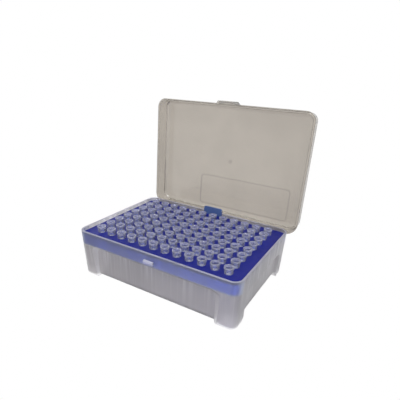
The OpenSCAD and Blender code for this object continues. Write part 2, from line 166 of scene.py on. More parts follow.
class BaseSizes(bpy.types.PropertyGroup):
    catch_out: length("Catch reach", "How far the catch stands out from the rim's front line", 0.0014)
    width: length("Width", "Width over the rim", BASE_HIGH.x - BASE_LOW.x)
    depth: length("Depth", "Depth over the rim", 0.0853)
    height: length("Height", "Height from the feet to the rim", BASE_HIGH.z - BASE_LOW.z)
    wall: length("Wall", "Wall thickness", 0.0014)
    draft: angle("Draft", "Draft of the walls", 2.7)
    corner_radius: length("Corner radius", "Outer corner radius at the rim", 0.0065)
    foot_edge: length("Foot edge", "Rounding of the outer edge under the feet", 0.0012)
    floor_height: length("Floor height", "Height of the floor above the bench", 0.0028)
    floor_thickness: length("Floor thickness", "Thickness of the floor", 0.0012)
    foot_gap: length("Foot gap", "Width of the opening between two feet, seen from the front", 0.0926)
    panel_drop: length("Front panel drop", "From the rim down to the sunk panel's flat face", 0.011)
    panel_depth: length("Front panel depth", "Depth of the sunk panel behind the rim's line", 0.00255)
    panel_radius: length("Front panel radius", "Corner radius of the sunk panel", 0.0035)
    side_drop: length("Side panel drop", "From the rim down to the side panel's flat face", 0.0144)
    side_half: length("Side panel half length", "Half length of a side panel's flat face", 0.026)
    side_depth: length("Side panel depth", "Depth of a side panel behind the rim's line", 0.00295)
    side_radius: length("Side panel radius", "Corner radius of the side panels", 0.005)
    flank_slope: FloatProperty(name="Flank slope", default=1.9, min=0.0,
                               description="Widening of a panel's flanks for each unit of depth")
    grip_top: length("Arch height", "Height of the arch under each side", 0.0054)
    grip_half_top: length("Arch flat half", "Half length of the arch's flat top", 0.020)
    grip_half_low: length("Arch half", "Half length of the arch at the bench", 0.0308)
    grip_depth: length("Arch depth", "From the rim's side line to the arch's inner wall", 0.0082)
    catch_width: length("Catch width", "Width of the catch on the front", 0.0072)
    catch_drop: length("Catch drop", "From the rim down to the catch's lower edge", 0.007)
    catch_height: length("Catch height", "Height of the catch", 0.0024)
    nub_width: length("Nub width", "Width of a snap nub under the rim", 0.004)
    nub_place: length("Nub place", "Distance of the nubs from the middle", 0.020)
    nub_out: length("Nub reach", "How far a nub stands out from the wall", 0.0006)


class TraySizes(bpy.types.PropertyGroup):
    thickness: length("Plate", "Plate thickness", 0.0016)
    drop: length("Drop", "From the base's rim down to the tray's top", 0.00215)
    skirt_height: length("Skirt height", "From the skirt's lower edge to the tray's top", 0.007)
    skirt_thickness: length("Skirt thickness", "Thickness of the skirt", 0.0012)
    skirt_end: length("Skirt end", "How far the skirts run along the sides past their corners", 0.0004)
    clearance: length("Clearance", "Between the tray and the base's wall", 0.00015)
    hole_radius: length("Hole radius", "Radius of a tip's hole", 0.00245)
    tab_width: length("Tab width", "Width of the grip tab at the back", 0.0158)
    tab_thickness: length("Tab thickness", "Thickness of the tab", 0.0013)
    tab_radius: length("Tab radius", "Corner radius of the tab", 0.0015)


class TipSizes(bpy.types.PropertyGroup):
    columns: IntProperty(name="Columns", description="Tips along the width", default=12, min=1)
    rows: IntProperty(name="Rows", description="Tips along the depth", default=8, min=1)
    pitch: length("Pitch", "Distance from one tip to the next", 0.009)
    collar_height: length("Collar height", "Height of the collar above the tray", 0.00425)
    ring_radius: length("Ring radius", "Radius of the ring round the mouth", 0.00305)
    ring_height: length("Ring height", "Height of the ring", 0.0015)
    lip: length("Lip", "Rounding of the ring's edges", 0.00018)
    collar_radius: length("Collar radius", "Radius of the collar between the fins", 0.0024)
    fin_top: length("Fin top radius", "Radius over the fins under the ring", 0.0028)
    fin_low: length("Fin low radius", "Radius over the fins at the tray", 0.0027)
    fin_thickness: length("Fin thickness", "Thickness of a fin", 0.0007)
    fins: IntProperty(name="Fins", description="Fins round a collar", default=8, min=3)
    length: length("Length", "Length of a tip", 0.0311)
    mouth_radius: length("Mouth radius", "Radius of the mouth", 0.0023)
    funnel_radius: length("Throat radius", "Radius of the funnel's throat", 0.00205)
    funnel_depth: length("Funnel depth", "Depth of the funnel", 0.0012)
    shank_radius: length("Shank radius", "Radius of the shank under the collar", 0.00225)
    shoulder_length: length("Shoulder", "From the mouth down to where the shank narrows", 0.0095)
    shoulder_radius: length("Shoulder radius", "Outer radius there", 0.002)
    waist_length: length("Waist", "From the mouth down to the slender end", 0.0155)
    waist_radius: length("Waist radius", "Outer radius there", 0.00145)
    wall: length("Wall", "Wall thickness of the shank", 0.00045)
    point_radius: length("Point radius", "Outer radius of the point", 0.00042)
    point_bore: length("Point bore", "Bore radius at the point", 0.00022)
    tilt: angle("Tilt", "How far a tip may lean in its hole", 0.9)
    seed: IntProperty(name="Seed", description="Seed of the tips' turns and leans", default=4)


class LidSizes(bpy.types.PropertyGroup):
    gap_side: length("Side gap", "Between the base's rim and the lid's side walls", 0.0015)
    gap_back: length("Back gap", "Between the base's rim and the lid's back wall", 0.0003)
    gap_front: length("Front gap", "Between the base's rim and the lid's front wall", 0.00045)
    height: length("Height", "Depth of the lid over all", 0.0123)
    wall: length("Wall", "Wall thickness", 0.00115)
    plate: length("Plate", "Plate thickness", 0.0012)
    draft: angle("Draft", "Draft of the lid's walls", 2.0)
    front_radius: length("Front radius", "Corner radius at the front", 0.0065)
    back_radius: length("Back radius", "Corner radius at the hinge side", 0.0085)
    edge: length("Edge", "Rounding of the outer top edge", 0.0008)
    fillet: length("Fillet", "Fillet inside, between wall and plate", 0.0033)
    band_height: length("Band height", "Height of the rim band", 0.0016)
    band_out: length("Band reach", "How far the rim band stands out", 0.0006)
    overlap: length("Overlap", "How far the closed lid reaches over the base's rim", 0.0032)
    flap_root: length("Flap root", "Width of the latch flap at its root", 0.0166)
    flap_tip: length("Flap tip", "Width of the latch flap at its tip", 0.0132)
    flap_drop: length("Flap drop", "How far the flap hangs below the lid's rim", 0.0055)
    flap_out: length("Flap reach", "How far the flap stands out from the front wall", 0.0026)
    flap_thickness: length("Flap thickness", "Thickness of the flap", 0.0013)
    flap_rise: length("Flap rise", "How far the flap's shoulder reaches up the front wall", 0.0034)
    flap_ease: length("Flap ease", "Small slopes that break the flap's edges", 0.0004)
    latch_gap: length("Latch gap", "Between the flap's bead and the catch", 0.0003)
    label_width: length("Label width", "Width of the label frame", 0.079)
    label_depth: length("Label depth", "Depth of the label frame", 0.026)
    label_place: length("Label place", "Distance of the frame's middle from the lid's middle", 0.0135)
    label_back: length("Label back", "From the hinge edge to the frame", 0.0045)
    label_radius: length("Label radius", "Outer corner radius of the frame", 0.003)
    label_line: length("Label line", "Width of the frame's line", 0.0009)
    label_height: length("Label height", "Height of the frame's line", 0.00035)
    gate_radius: length("Gate radius", "Radius of the moulding mark", 0.0016)


class HingeSizes(bpy.types.PropertyGroup):
    place: length("Place", "Distance from the middle to the middle of a hinge", 0.051)
    pin_radius: length("Pin radius", "Radius of the hinge pins", 0.0015)
    pin_clearance: length("Pin clearance", "Radial clearance of the pins", 0.00006)
    arm_width: length("Arm width", "Width of a lid arm", 0.005)
    arm_radius: length("Arm radius", "Radius of the arm round the pin", 0.0026)
    cheek_thickness: length("Cheek", "Thickness of a cheek on the base", 0.002)
    cheek_radius: length("Cheek radius", "Radius of a cheek round the pin", 0.003)
    cheek_clearance: length("Cheek clearance", "Between an arm and its cheeks", 0.0003)
    heel_clearance: length("Heel clearance", "Between the arm's heel and the base's wall", 0.0001)
    arm_rise: length("Arm rise", "How far the arm reaches up the lid's back wall", 0.008)


class Finishes(bpy.types.PropertyGroup):
    base_colour: colour("Base colour", "Milky plastic of the base", (0.61, 0.59, 0.61))
    # painted light: light streaks for the lit tips seen through the walls
    streak_light_colour: colour("Streak colour", "Flow streaks down the base's walls", (0.96, 0.95, 1.0))
    # painted light: the skirt's blue, painted on the walls where it is seen through them
    through_wall_blue: colour("Band colour", "The base's walls where the tray's skirt lies hard on them",
                        (0.27, 0.31, 0.52))
    # painted light: the band's colour at its right end, lighter as lit from the right
    through_wall_lit_blue: colour("Faint band colour", "The walls where the skirt only nears them",
                         (0.70, 0.76, 0.86))
    # painted light: blue light from the tray, painted on the front wall's right end
    cast_colour: colour("Cast colour", "The base's front wall at its right end, with blue light in it",
                        (0.70, 0.69, 0.78))
    # painted shade: the side walls are painted darker than the front
    side_colour: colour("Side colour", "The base's side walls", (0.54, 0.53, 0.56))
    # painted shade, tinted blue as a painted reflection of the deck
    inner_face_shade_colour: colour("Inside colour", "Inner faces of the base's walls above the tray",
                          (0.30, 0.30, 0.38))
    # painted highlight on the rim, the catch and the rounded edges
    rim_highlight_colour: colour("Rim colour", "The base's rim and edges, where light gathers",
                       (0.72, 0.72, 0.86))
    lid_colour: colour("Lid colour", "Milky plastic of the lid", (0.49, 0.45, 0.40))
    # painted highlight on the front panel's sloped borders
    flank_highlight_colour: colour("Flank colour", "Sloped borders of the base's front panel",
                         (0.80, 0.79, 0.84))
    # painted highlight on the lid's rounded edges and its flap
    edge_highlight_colour: colour("Lid edge colour", "Edges and flap of the lid", (0.78, 0.76, 0.72))
    # painted shade on the raised label frame and moulding mark
    mark_shade_colour: colour("Mark colour", "Raised marks on the lid", (0.35, 0.32, 0.28))
    tray_colour: colour("Tray colour", "Blue plastic of the tray's plate", (0.007, 0.012, 0.19))
    # painted light: the skirt is painted lighter, for light reaching it through the base's wall
    lit_skirt_colour: colour("Skirt colour", "Blue plastic where it is thin, at the skirt",
                         (0.06, 0.13, 0.85))
    # painted light: the tab is painted lighter, for light falling on it and through it
    lit_tab_colour: colour("Tab colour", "Blue plastic of the grip tab", (0.07, 0.12, 0.30))
    tip_colour: colour("Tip colour", "Clear plastic of the tips", (0.88, 0.91, 1.0))
    ring_colour: colour("Ring colour", "The tips' rings and collars, thick enough to look milky",
                        (0.74, 0.76, 0.92))
    base_clear: share("Base clearness", "Share of light that passes the base's walls", 0.94)
    rim_clear: share("Rim clearness", "Share of light that passes the rim and edges", 0.78)
    lid_clear: share("Lid clearness", "Share of light that passes the lid", 0.88)
    tip_clear: share("Tip clearness", "Share of light that passes the tips", 0.985)
    ring_clear: share("Ring clearness", "Share of light that passes the tips' rings", 0.77)
    edge_softness: length("Edge softness", "Rounding of the moulded edges", 0.00025)
    base_softness: length("Base edge softness", "Rounding of the base's edges", 0.0004)


class StageSizes(bpy.types.PropertyGroup):
    azimuth: angle("Azimuth", "Camera's turn round the object, from the front to its right", 29.558)
    elevation: angle("Elevation", "Camera's height above the horizon", 23.909)
    roll: angle("Roll", "Camera's roll", 2.264)
    distance: length("Distance", "From the camera to the point that it is turned about", 0.247894)
    target: FloatVectorProperty(name="Target", description="The point that the camera is turned about",
                                default=(0.008057, -0.006572, 0.038170), size=3, subtype="XYZ")
    lens: FloatProperty(name="Lens", description="Focal length in millimetres", default=31.58)
    shift: FloatProperty(name="Shift", description="Upward shift of the view", default=0.06)
    ambient: FloatProperty(name="Ambient", description="Level of the room's light", default=0.55)
    key_level: FloatProperty(name="Key light", description="Strength of the soft main light",
                             default=1.7)
    key_softness: angle("Key softness", "Width of the soft main light in the sky", 18)
    floor_colour: colour("Floor colour", "Pale floor", (0.94, 0.94, 0.94))


class TipBoxSettings(bpy.types.PropertyGroup):
    base: PointerProperty(type=BaseSizes)
    tray: PointerProperty(type=TraySizes)
    tips: PointerProperty(type=TipSizes)
    lid: PointerProperty(type=LidSizes)
    hinge: PointerProperty(type=HingeSizes)
    finish: PointerProperty(type=Finishes)
    stage: PointerProperty(type=StageSizes)


# ---------------------------------------------------------------- outlines and solids

def arc(cx, cy, radius, start, turn, steps):
    """Points round (cx, cy) from the start angle through turn, both in degrees."""
    spots = [math.radians(start + turn * i / steps) for i in range(steps + 1)]
    return [(cx + radius * math.cos(a), cy + radius * math.sin(a)) for a in spots]


def disc(cx, cy, radius):
    """Points all round (cx, cy)."""
    steps = DISC_POINTS - 1
    return arc(cx, cy, radius, 0, 360 * steps / DISC_POINTS, steps)


def round_outline(half_x, front, back, front_r, back_r, steps=16):
    """Outline of a rectangle with round corners, from x -half_x to half_x and y front to back."""
    return (arc(half_x - back_r, back - back_r, back_r, 0, 90, steps)
            + arc(back_r - half_x, back - back_r, back_r, 90, 90, steps)
            + arc(front_r - half_x, front + front_r, front_r, 180, 90, steps)
            + arc(half_x - front_r, front + front_r, front_r, 270, 90, steps))


def arch_outline(half_w, low, top, radius):
    """Outline with square lower corners and round upper ones."""
    return ([(-half_w, low), (half_w, low)]
            + arc(half_w - radius, top - radius, radius, 0, 90, ARCH_STEPS)
            + arc(radius - half_w, top - radius, radius, 90, 90, ARCH_STEPS))


def flat(outline, z):
    return [Vector((x, y, z)) for x, y in outline]


def upright(outline, y):
    """An outline in x and z, standing at y."""
    return [Vector((x, y, z)) for x, z in outline]


def make_object(name, mesh):
    made = bpy.data.objects.new(name, mesh)
    bpy.context.scene.collection.objects.link(made)
    return made


def loft(*loops):
    """A closed solid through loops of the same number of points, with flat ends."""
    bm = bmesh.new()
    rings = [[bm.verts.new(p) for p in loop] for loop in loops]
    for low, high in zip(rings, rings[1:]):
        for i, corner in enumerate(low):
            after = (i + 1) % len(low)
            bm.faces.new((corner, low[after], high[after], high[i]))
    bm.faces.new(list(reversed(rings[0])))
    bm.faces.new(rings[-1])
    bmesh.ops.recalc_face_normals(bm, faces=bm.faces)
    mesh = bpy.data.meshes.new("solid")
    bm.to_mesh(mesh)
    bm.free()
    return make_object("solid", mesh)


def along_x(outline, x0, x1):
    """A solid of one outline in y and z, from x0 to x1."""
    return loft(*([Vector((x, y, z)) for y, z in outline] for x in (x0, x1)))


def along_y(outline, y0, y1):
    """A solid of one outline in x and z, from y0 to y1."""
    return loft(upright(outline, y0), upright(outline, y1))


def along_z(outline, z0, z1):
    """A solid of one outline in x and y, from z0 to z1."""
    return loft(flat(outline, z0), flat(outline, z1))


def turned(solid, *matrices):
    """The solid's copies at each of the matrices, as one object."""
    bm = bmesh.new()
    for m in matrices:
        copy = solid.data.copy()
        copy.transform(m)
        if m.is_negative:
            copy.flip_normals()
        bm.from_mesh(copy)
        bpy.data.meshes.remove(copy)
    bm.to_mesh(solid.data)
    bm.free()
    return solid


def quarter_turns(*degrees):
    return [Matrix.Rotation(math.radians(d), 4, "Z") for d in degrees]


def mirrored_x():
    return [Matrix.Identity(4), Matrix.Scale(-1, 4, Vector((1, 0, 0)))]


def settle(obj):
    """Turns the modifiers' result into the object's own mesh."""
    graph = bpy.context.evaluated_depsgraph_get()
    mesh = bpy.data.meshes.new_from_object(obj.evaluated_get(graph), preserve_all_data_layers=True,
                                           depsgraph=graph)
    obj.modifiers.clear()
    was, obj.data = obj.data, mesh
    bpy.data.meshes.remove(was)
    return obj


def carve(target, operation, *tools):
    """Joins, cuts or meets the target with each tool in turn; the tools are used up."""
    for tool in tools:
        step = target.modifiers.new("carve", "BOOLEAN")
        step.operation = operation
        step.solver = "MANIFOLD"
        step.object = tool
        settle(target)
        was = tool.data
        bpy.data.objects.remove(tool)
        bpy.data.meshes.remove(was)
    return target


def soften(obj, width, edge_slot=-1):
    """Merges what the cuts left on flat faces, rounds the edges and evens the shading."""
    for _ in range(edge_slot + 1):
        obj.data.materials.append(None)
    bm = bmesh.new()
    bm.from_mesh(obj.data)
    bmesh.ops.remove_doubles(bm, verts=bm.verts, dist=MERGE)
    bmesh.ops.dissolve_degenerate(bm, edges=bm.edges, dist=MERGE)
    bmesh.ops.dissolve_limit(bm, angle_limit=FLAT_EDGE, verts=bm.verts, edges=bm.edges)
    bm.to_mesh(obj.data)
    bm.free()
    rounding = obj.modifiers.new("rounding", "BEVEL")
    rounding.width = width
    rounding.segments = ROUNDING_STEPS
    rounding.limit_method = "ANGLE"
    rounding.angle_limit = ROUNDED_EDGE
    rounding.miter_outer = "MITER_ARC"
    rounding.material = edge_slot
    settle(obj)
    for face in obj.data.polygons:
        face.use_smooth = True
    evening = obj.modifiers.new("evening", "WEIGHTED_NORMAL")
    evening.weight = 100
    settle(obj)
    return obj


def hand_over(obj, name, body, nodes, slot, *materials):
    """Names the piece, dresses it, hangs it on its body and hides the frame's parts that it stands for.
    """
    obj.name = name
    obj.data.name = name
    places = [materials.index(worn) if worn in materials else min(i, len(materials) - 1)
              for i, worn in enumerate(obj.data.materials)] or [0]
    kept = [places[face.material_index] for face in obj.data.polygons]
    obj.data.materials.clear()
    for material in materials:
        obj.data.materials.append(material)
    for face, place in zip(obj.data.polygons, kept):
        face.material_index = place
    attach(obj, body)
    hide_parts(*nodes)


# ---------------------------------------------------------------- nodes

class Nodes:
    """The nodes of a tree, made and joined by name."""

    def __init__(self, tree):
        self.tree = tree

    def fill(self, target, value):
        """Gives an input another node's output, or a value of its own."""
        if isinstance(value, bpy.types.NodeSocket):
            self.tree.links.new(value, target)
        else:
            target.default_value = value

    def dress(self, node, inputs):
        for key, value in inputs.items():
            self.fill(node.inputs[key], value)
        return node

    def add(self, kind, inputs=None, **settings):
        node = self.tree.nodes.new(kind)
        for key, value in settings.items():
            setattr(node, key, value)
        return self.dress(node, inputs or {})

    def math(self, operation, *values):
        node = self.add("ShaderNodeMath", dict(enumerate(values)), operation=operation)
        return node.outputs["Value"]

    def product(self, first, *factors):
        for factor in factors:
            first = self.math("MULTIPLY", first, factor)
        return first


# ---------------------------------------------------------------- finishes

class Graph(Nodes):
    """The nodes of a new material."""

    def __init__(self, name):
        self.material = bpy.data.materials.new(name)
        self.material.use_nodes = True
        super().__init__(self.material.node_tree)
        self.shader = self.tree.nodes["Principled BSDF"]

    def place(self):
        """The x, y and z of Object coordinates."""
        place = self.add("ShaderNodeTexCoord")
        return tuple(self.add("ShaderNodeSeparateXYZ", {"Vector": place.outputs["Object"]}).outputs)

    def grain(self, scale, detail=2.0, stretch=(1.0, 1.0, 1.0)):
        """Noise on Object coordinates."""
        place = self.add("ShaderNodeTexCoord")
        spot = self.add("ShaderNodeMapping", {"Vector": place.outputs["Object"], "Scale": stretch})
        return self.add("ShaderNodeTexNoise", {"Vector": spot.outputs["Vector"], "Scale": scale,
                                               "Detail": detail}).outputs["Fac"]

    def ramp(self, source, start, end, low=0.0, high=1.0):
        """Goes from low at start to high at end, whichever of these is the higher."""
        return self.add("ShaderNodeMapRange", {"Value": source, "From Min": start, "From Max": end,
                                               "To Min": low, "To Max": high}).outputs["Result"]

    def spread(self, noise, low=0.0, high=1.0):
        """Maps the middle of a noise onto a range from low to high."""
        return self.ramp(noise, *NOISE_MIDDLE, low, high)

    def tint(self, source, dark, light):
        """Mixes two colours, each given as numbers or as a socket."""
        node = self.add("ShaderNodeMix", {"Factor": source}, data_type="RGBA")
        for key, value in (("A_Color", dark), ("B_Color", light)):
            mixed = isinstance(value, bpy.types.NodeSocket)
            target = next(i for i in node.inputs if i.identifier == key)
            self.fill(target, value if mixed else (*value, 1.0))
        return next(o for o in node.outputs if o.identifier == "Result_Color")

    def clouded(self, cloud, rgb, dark=0.95, light=1.05):
        """A colour that the cloud makes darker and lighter, by these factors."""
        return self.tint(cloud, scaled(rgb, dark), scaled(rgb, light))

    def finish(self, colour_socket, noise, smoothest, roughest):
        """Gives the shader its colour, and a roughness that goes with the noise."""
        self.dress(self.shader, {"Base Color": colour_socket,
                                 "Roughness": self.spread(noise, smoothest, roughest)})

    def let_through(self, clear):
        """Lets a share of the light pass, and ends a clear plastic."""
        self.dress(self.shader, {"Transmission Weight": clear, "IOR": PLASTIC_IOR})
        return self.material


def scaled(rgb, factor):
    return tuple(min(1.0, c * factor) for c in rgb)


def milky_plastic(name, rgb, clear, roughness, scales):
    """Polypropylene with a haze in it: part of the light passes, part is thrown back."""
    g = Graph(name)
    cloud, gloss = scales
    haze = g.spread(g.grain(cloud, 4.0))
    g.finish(g.clouded(haze, rgb), g.grain(gloss, 3.0), roughness - ROUGH_SWING,
             roughness + ROUGH_SWING)
    return g.let_through(clear)


def wall_plastic(name, s, at):
    """The tub's plastic, with painted light: light streaks down the walls for the lit tips seen through
    them, and the skirt's blue painted where it shows through.
    """
    g = Graph(name)
    b, finish = s.base, s.finish
    x, y, z = g.place()
    cloud, gloss = BASE_GRAIN
    skirt_low, rim = at.tray_top - s.tray.skirt_height, b.height - SOFT_LINE
    off_x = g.math("ABSOLUTE", x)
    off_y = g.math("ABSOLUTE", g.math("SUBTRACT", y, at.middle_y))

    # painted shade makes the side walls darker, and painted blue light lies on the front wall towards
    # its right end
    haze = g.spread(g.grain(cloud, 4.0))
    plain, cast, side = (g.clouded(haze, c) for c in (finish.base_colour, finish.cast_colour,
                                                      finish.side_colour))
    rightward = g.ramp(x, -at.post_x, at.post_x)
    near = g.ramp(y, at.middle_y - at.post_y, at.middle_y - at.half_d)
    on_side = g.ramp(off_x, at.post_x, at.half_w)
    milk = g.tint(g.product(rightward, near), g.tint(on_side, plain, side), cast)

    # painted light: light streaks, for the lit tips seen through the wall, come in patches and fade
    # towards the feet
    streak, patch = g.ramp(g.grain(*STREAKS), *STREAK_RISE), g.ramp(g.grain(*PATCHES), *PATCH_RISE)
    fade = g.ramp(z, b.foot_edge, skirt_low)
    walls = g.tint(g.product(streak, patch, fade), milk, finish.streak_light_colour)

    # painted light: the skirt's blue, painted on where it is seen through the wall, lies in a band on
    # the outer half of the front and back walls, round to their corners
    past_x = g.math("MAXIMUM", g.math("SUBTRACT", off_x, at.post_x), 0.0)
    past_y = g.math("SUBTRACT", off_y, at.post_y)
    squares = (g.math("POWER", past, 2.0) for past in (past_x, past_y))
    radius = g.math("POWER", g.math("ADD", *squares), 0.5)
    drawn_in = g.product(g.math("SUBTRACT", b.height, z), at.slope)
    from_post, face = g.math("ADD", radius, drawn_in), b.corner_radius
    middle = face - b.wall / 2
    outer = g.ramp(from_post, middle, middle + SOFT_LINE)
    # it ends at the wall's own face, so the hinge's cheeks stay clear of it
    on_wall = g.product(outer, g.ramp(from_post, face + 2 * SOFT_LINE, face + SOFT_LINE))
    # and at the deck, or in front, where the deck is seen through the wall, at the rim
    in_front = g.ramp(y, at.middle_y, at.middle_y - SOFT_LINE)
    under = g.math("MAXIMUM", g.ramp(z, at.tray_top, at.tray_top - SOFT_LINE),
                   g.product(in_front, g.ramp(z, rim, rim - SOFT_LINE)))
    level = g.product(g.ramp(z, skirt_low - SOFT_LINE, skirt_low), under)
    band = g.product(on_wall, level, g.ramp(past_y, 0.0, SOFT_LINE))

    # painted shade: above the deck the walls' inner faces are painted darker, tinted blue as a painted
    # reflection of the deck
    over = g.product(g.math("SUBTRACT", 1.0, outer), g.ramp(z, at.tray_top - SOFT_LINE, at.tray_top))
    walls = g.tint(over, walls, finish.inner_face_shade_colour)
    # painted light: the band is painted lighter towards its right end, as lit from the right
    blue = g.tint(rightward, finish.through_wall_blue, finish.through_wall_lit_blue)
    g.finish(g.tint(band, walls, blue), g.grain(gloss, 3.0), BASE_ROUGH - ROUGH_SWING,
             BASE_ROUGH + ROUGH_SWING)
    return g.let_through(finish.base_clear)


def blue_plastic(name, colours, top):
    """Dyed plastic of the tray: deep on the deck, and painted lighter in the skirt and tab as painted
    light, the skirt for light reaching it through the wall, the tab for light falling on it and through
    it.
    """
    g = Graph(name)
    z = g.place()[2]
    below = g.ramp(z, top - SOFT_LINE, top - 2 * SOFT_LINE)
    above = g.ramp(z, top + SOFT_LINE, top + 2 * SOFT_LINE)
    cloud, gloss = TRAY_GRAIN
    haze = g.spread(g.grain(cloud, 3.0))
    # the skirt and tab colours carry painted light
    deck, skirt, tab = (g.clouded(haze, c, 0.9, 1.1) for c in colours)
    g.finish(g.tint(above, g.tint(below, deck, skirt), tab), g.grain(gloss), *TRAY_ROUGH)
    bumps = g.add("ShaderNodeBump", {"Strength": BUMP_STRENGTH, "Distance": BUMP_DEPTH,
                                     "Height": g.grain(TRAY_BUMPS)})
    g.dress(g.shader, {"Specular IOR Level": TRAY_SPECULAR, "Normal": bumps.outputs["Normal"]})
    return g.material


def clear_plastic(name, rgb, clear):
    """Clear polypropylene of the tips."""
    g = Graph(name)
    cloud, gloss = TIP_GRAIN
    g.finish(g.clouded(g.spread(g.grain(cloud)), rgb, 0.96, 1.03), g.grain(gloss), *TIP_ROUGH)
    return g.let_through(clear)


# ---------------------------------------------------------------- geometry node trees

class Tree(Nodes):
    """A geometry node tree with named inputs, for the modifier that uses it."""

    def __init__(self, name):
        super().__init__(bpy.data.node_groups.new(name, "GeometryNodeTree"))
        for way in ("INPUT", "OUTPUT"):
            self.tree.interface.new_socket("Geometry", in_out=way, socket_type="NodeSocketGeometry")
        self.source = self.tree.nodes.new("NodeGroupInput")
        self.result = self.tree.nodes.new("NodeGroupOutput")
        self.keys = {}

    def size(self, name, kind):
        """A named input of the tree."""
        socket = self.tree.interface.new_socket(name, in_out="INPUT", socket_type="NodeSocket" + kind)
        self.keys[name] = socket.identifier
        return self.source.outputs[name]

    def rack(self):
        """Points of the rack: one for each tip, in the plane z = 0 round the base's middle."""
        columns, rows = self.size("Columns", "Int"), self.size("Rows", "Int")
        pitch, shift = self.size("Pitch", "Float"), self.size("Place", "Vector")
        span_x, span_y = (self.product(self.math("SUBTRACT", count, 1.0), pitch)
                          for count in (columns, rows))
        grid = self.add("GeometryNodeMeshGrid", {"Size X": span_x, "Size Y": span_y,
                                                 "Vertices X": columns, "Vertices Y": rows})
        moved = self.add("GeometryNodeSetPosition",
                         {"Geometry": grid.outputs["Mesh"], "Offset": shift})
        return moved.outputs["Geometry"]

    def close(self, geometry, marked=None):
        """Ends the tree: real geometry, with the piece's material, and another where marked."""
        real = self.add("GeometryNodeRealizeInstances", {"Geometry": geometry})
        dressed = self.add("GeometryNodeSetMaterial",
                           {"Geometry": real.outputs["Geometry"],
                            "Material": self.size("Material", "Material")})
        if marked:
            mark = self.add("GeometryNodeInputNamedAttribute", {"Name": marked}, data_type="BOOLEAN")
            dressed = self.add("GeometryNodeSetMaterial",
                               {"Geometry": dressed.outputs["Geometry"],
                                "Selection": mark.outputs["Attribute"],
                                "Material": self.size("Marked material", "Material")})
        self.dress(self.result, {"Geometry": dressed.outputs["Geometry"]})

    def use(self, obj, tips, place, others):
        """Runs the tree on the object, with the rack's values and others, and keeps a plain mesh."""
        modifier = obj.modifiers.new(self.tree.name, "NODES")
        modifier.node_group = self.tree
        for name, value in {"Columns": tips.columns, "Rows": tips.rows, "Pitch": tips.pitch,
                            "Place": place, **others}.items():
            modifier[self.keys[name]] = value
        return settle(obj)


def perforation_tree():
    """Cuts a rack of round holes through the geometry."""
    t = Tree("perforated deck")
    points = t.rack()
    punch = t.add("GeometryNodeMeshCylinder",
                  {"Vertices": HOLE_POINTS, "Radius": t.size("Hole radius", "Float"),
                   "Depth": t.size("Punch depth", "Float")})
    punches = t.add("GeometryNodeInstanceOnPoints",
                    {"Points": points, "Instance": punch.outputs["Mesh"]})
    real = t.add("GeometryNodeRealizeInstances", {"Geometry": punches.outputs["Instances"]})
    cut = t.add("GeometryNodeMeshBoolean", operation="DIFFERENCE", solver="MANIFOLD")
    t.dress(cut, {"Mesh 1": t.source.outputs["Geometry"], "Mesh 2": real.outputs["Geometry"]})
    t.close(cut.outputs["Mesh"])
    return t


def rack_tree():
    """Sets the geometry, one tip, in every hole of the rack, each turned and leaning a little."""
    t = Tree("rack of tips")
    points = t.rack()
    seed, tilt = t.size("Seed", "Int"), t.size("Tilt", "Float")
    back = t.product(tilt, -1.0)
    least = t.add("ShaderNodeCombineXYZ", {"X": back, "Y": back, "Z": 0.0})
    most = t.add("ShaderNodeCombineXYZ", {"X": tilt, "Y": tilt, "Z": math.tau})
    turn = t.add("FunctionNodeRandomValue", {"Seed": seed, 0: least.outputs["Vector"],
                                             1: most.outputs["Vector"]}, data_type="FLOAT_VECTOR")
    placed = t.add("GeometryNodeInstanceOnPoints",
                   {"Points": points, "Instance": t.source.outputs["Geometry"],
                    "Rotation": turn.outputs["Value"]})
    t.close(placed.outputs["Instances"], marked="ring")
    return t


# ---------------------------------------------------------------- pieces

class Layout:
    """Places that several pieces share, worked out from the sizes."""

    def __init__(self, settings):
        b, l, h = settings.base, settings.lid, settings.hinge
        self.lid = l
        self.half_w = b.width / 2
        self.half_d = b.depth / 2
        self.middle_y = BASE_LOW.y + b.catch_out + self.half_d
        self.slope = math.tan(b.draft)
        self.post_x = self.half_w - b.corner_radius
        self.post_y = self.half_d - b.corner_radius
        self.foot_radius = b.corner_radius - b.height * self.slope
        self.panel_y = self.half_d - b.panel_depth
        self.panel_top = b.height - b.panel_drop
        self.side_x = self.half_w - b.side_depth
        self.side_top = b.height - b.side_drop
        self.grip_x = self.half_w - b.grip_depth
        self.axis_y = HINGE.y - self.middle_y
        self.axis_z = HINGE.z
        self.catch_y = self.half_d + b.catch_out
        self.wall_y_at_axis = self.half_d - (b.height - self.axis_z) * self.slope
        self.lid_rim_z = b.height - l.overlap
        self.lid_half = self.half_w + l.gap_side + l.wall
        self.lid_back = self.half_d + l.gap_back + l.wall
        self.lid_front = -(self.half_d + l.gap_front + l.wall)
        self.lid_top_z = self.lid_rim_z + l.height
        self.lid_slope = math.tan(l.draft)
        self.heel_reach = self.axis_y - self.wall_y_at_axis - h.heel_clearance
        self.tray_top = b.height - settings.tray.drop

    def post_outline(self, radius):
        """Outline round the base's four corner posts, grown to the radius."""
        half_x, half_y = self.post_x + radius, self.post_y + radius
        return round_outline(half_x, -half_y, half_y, radius, radius)

    def lid_outline(self, inset):
        """Outline of the lid's wall, drawn in by inset."""
        return round_outline(self.lid_half - inset, self.lid_front + inset, self.lid_back - inset,
                             self.lid.front_radius - inset, self.lid.back_radius - inset)

    def moved(self):
        """From the base's own middle to the frame."""
        return Matrix.Translation((0, self.middle_y, 0))


def box_solid(x0, x1, y0, y1, z0, z1):
    return along_z([(x0, y0), (x1, y0), (x1, y1), (x0, y1)], z0, z1)


def at_hinges(outline, h, half_width, offsets=(0.0,)):
    """Solids of one outline in y and z at both hinges, each off its middle by every offset."""
    return [along_x(outline, x - half_width, x + half_width)
            for x in (side * h.place + offset for side in (-1, 1) for offset in offsets)]


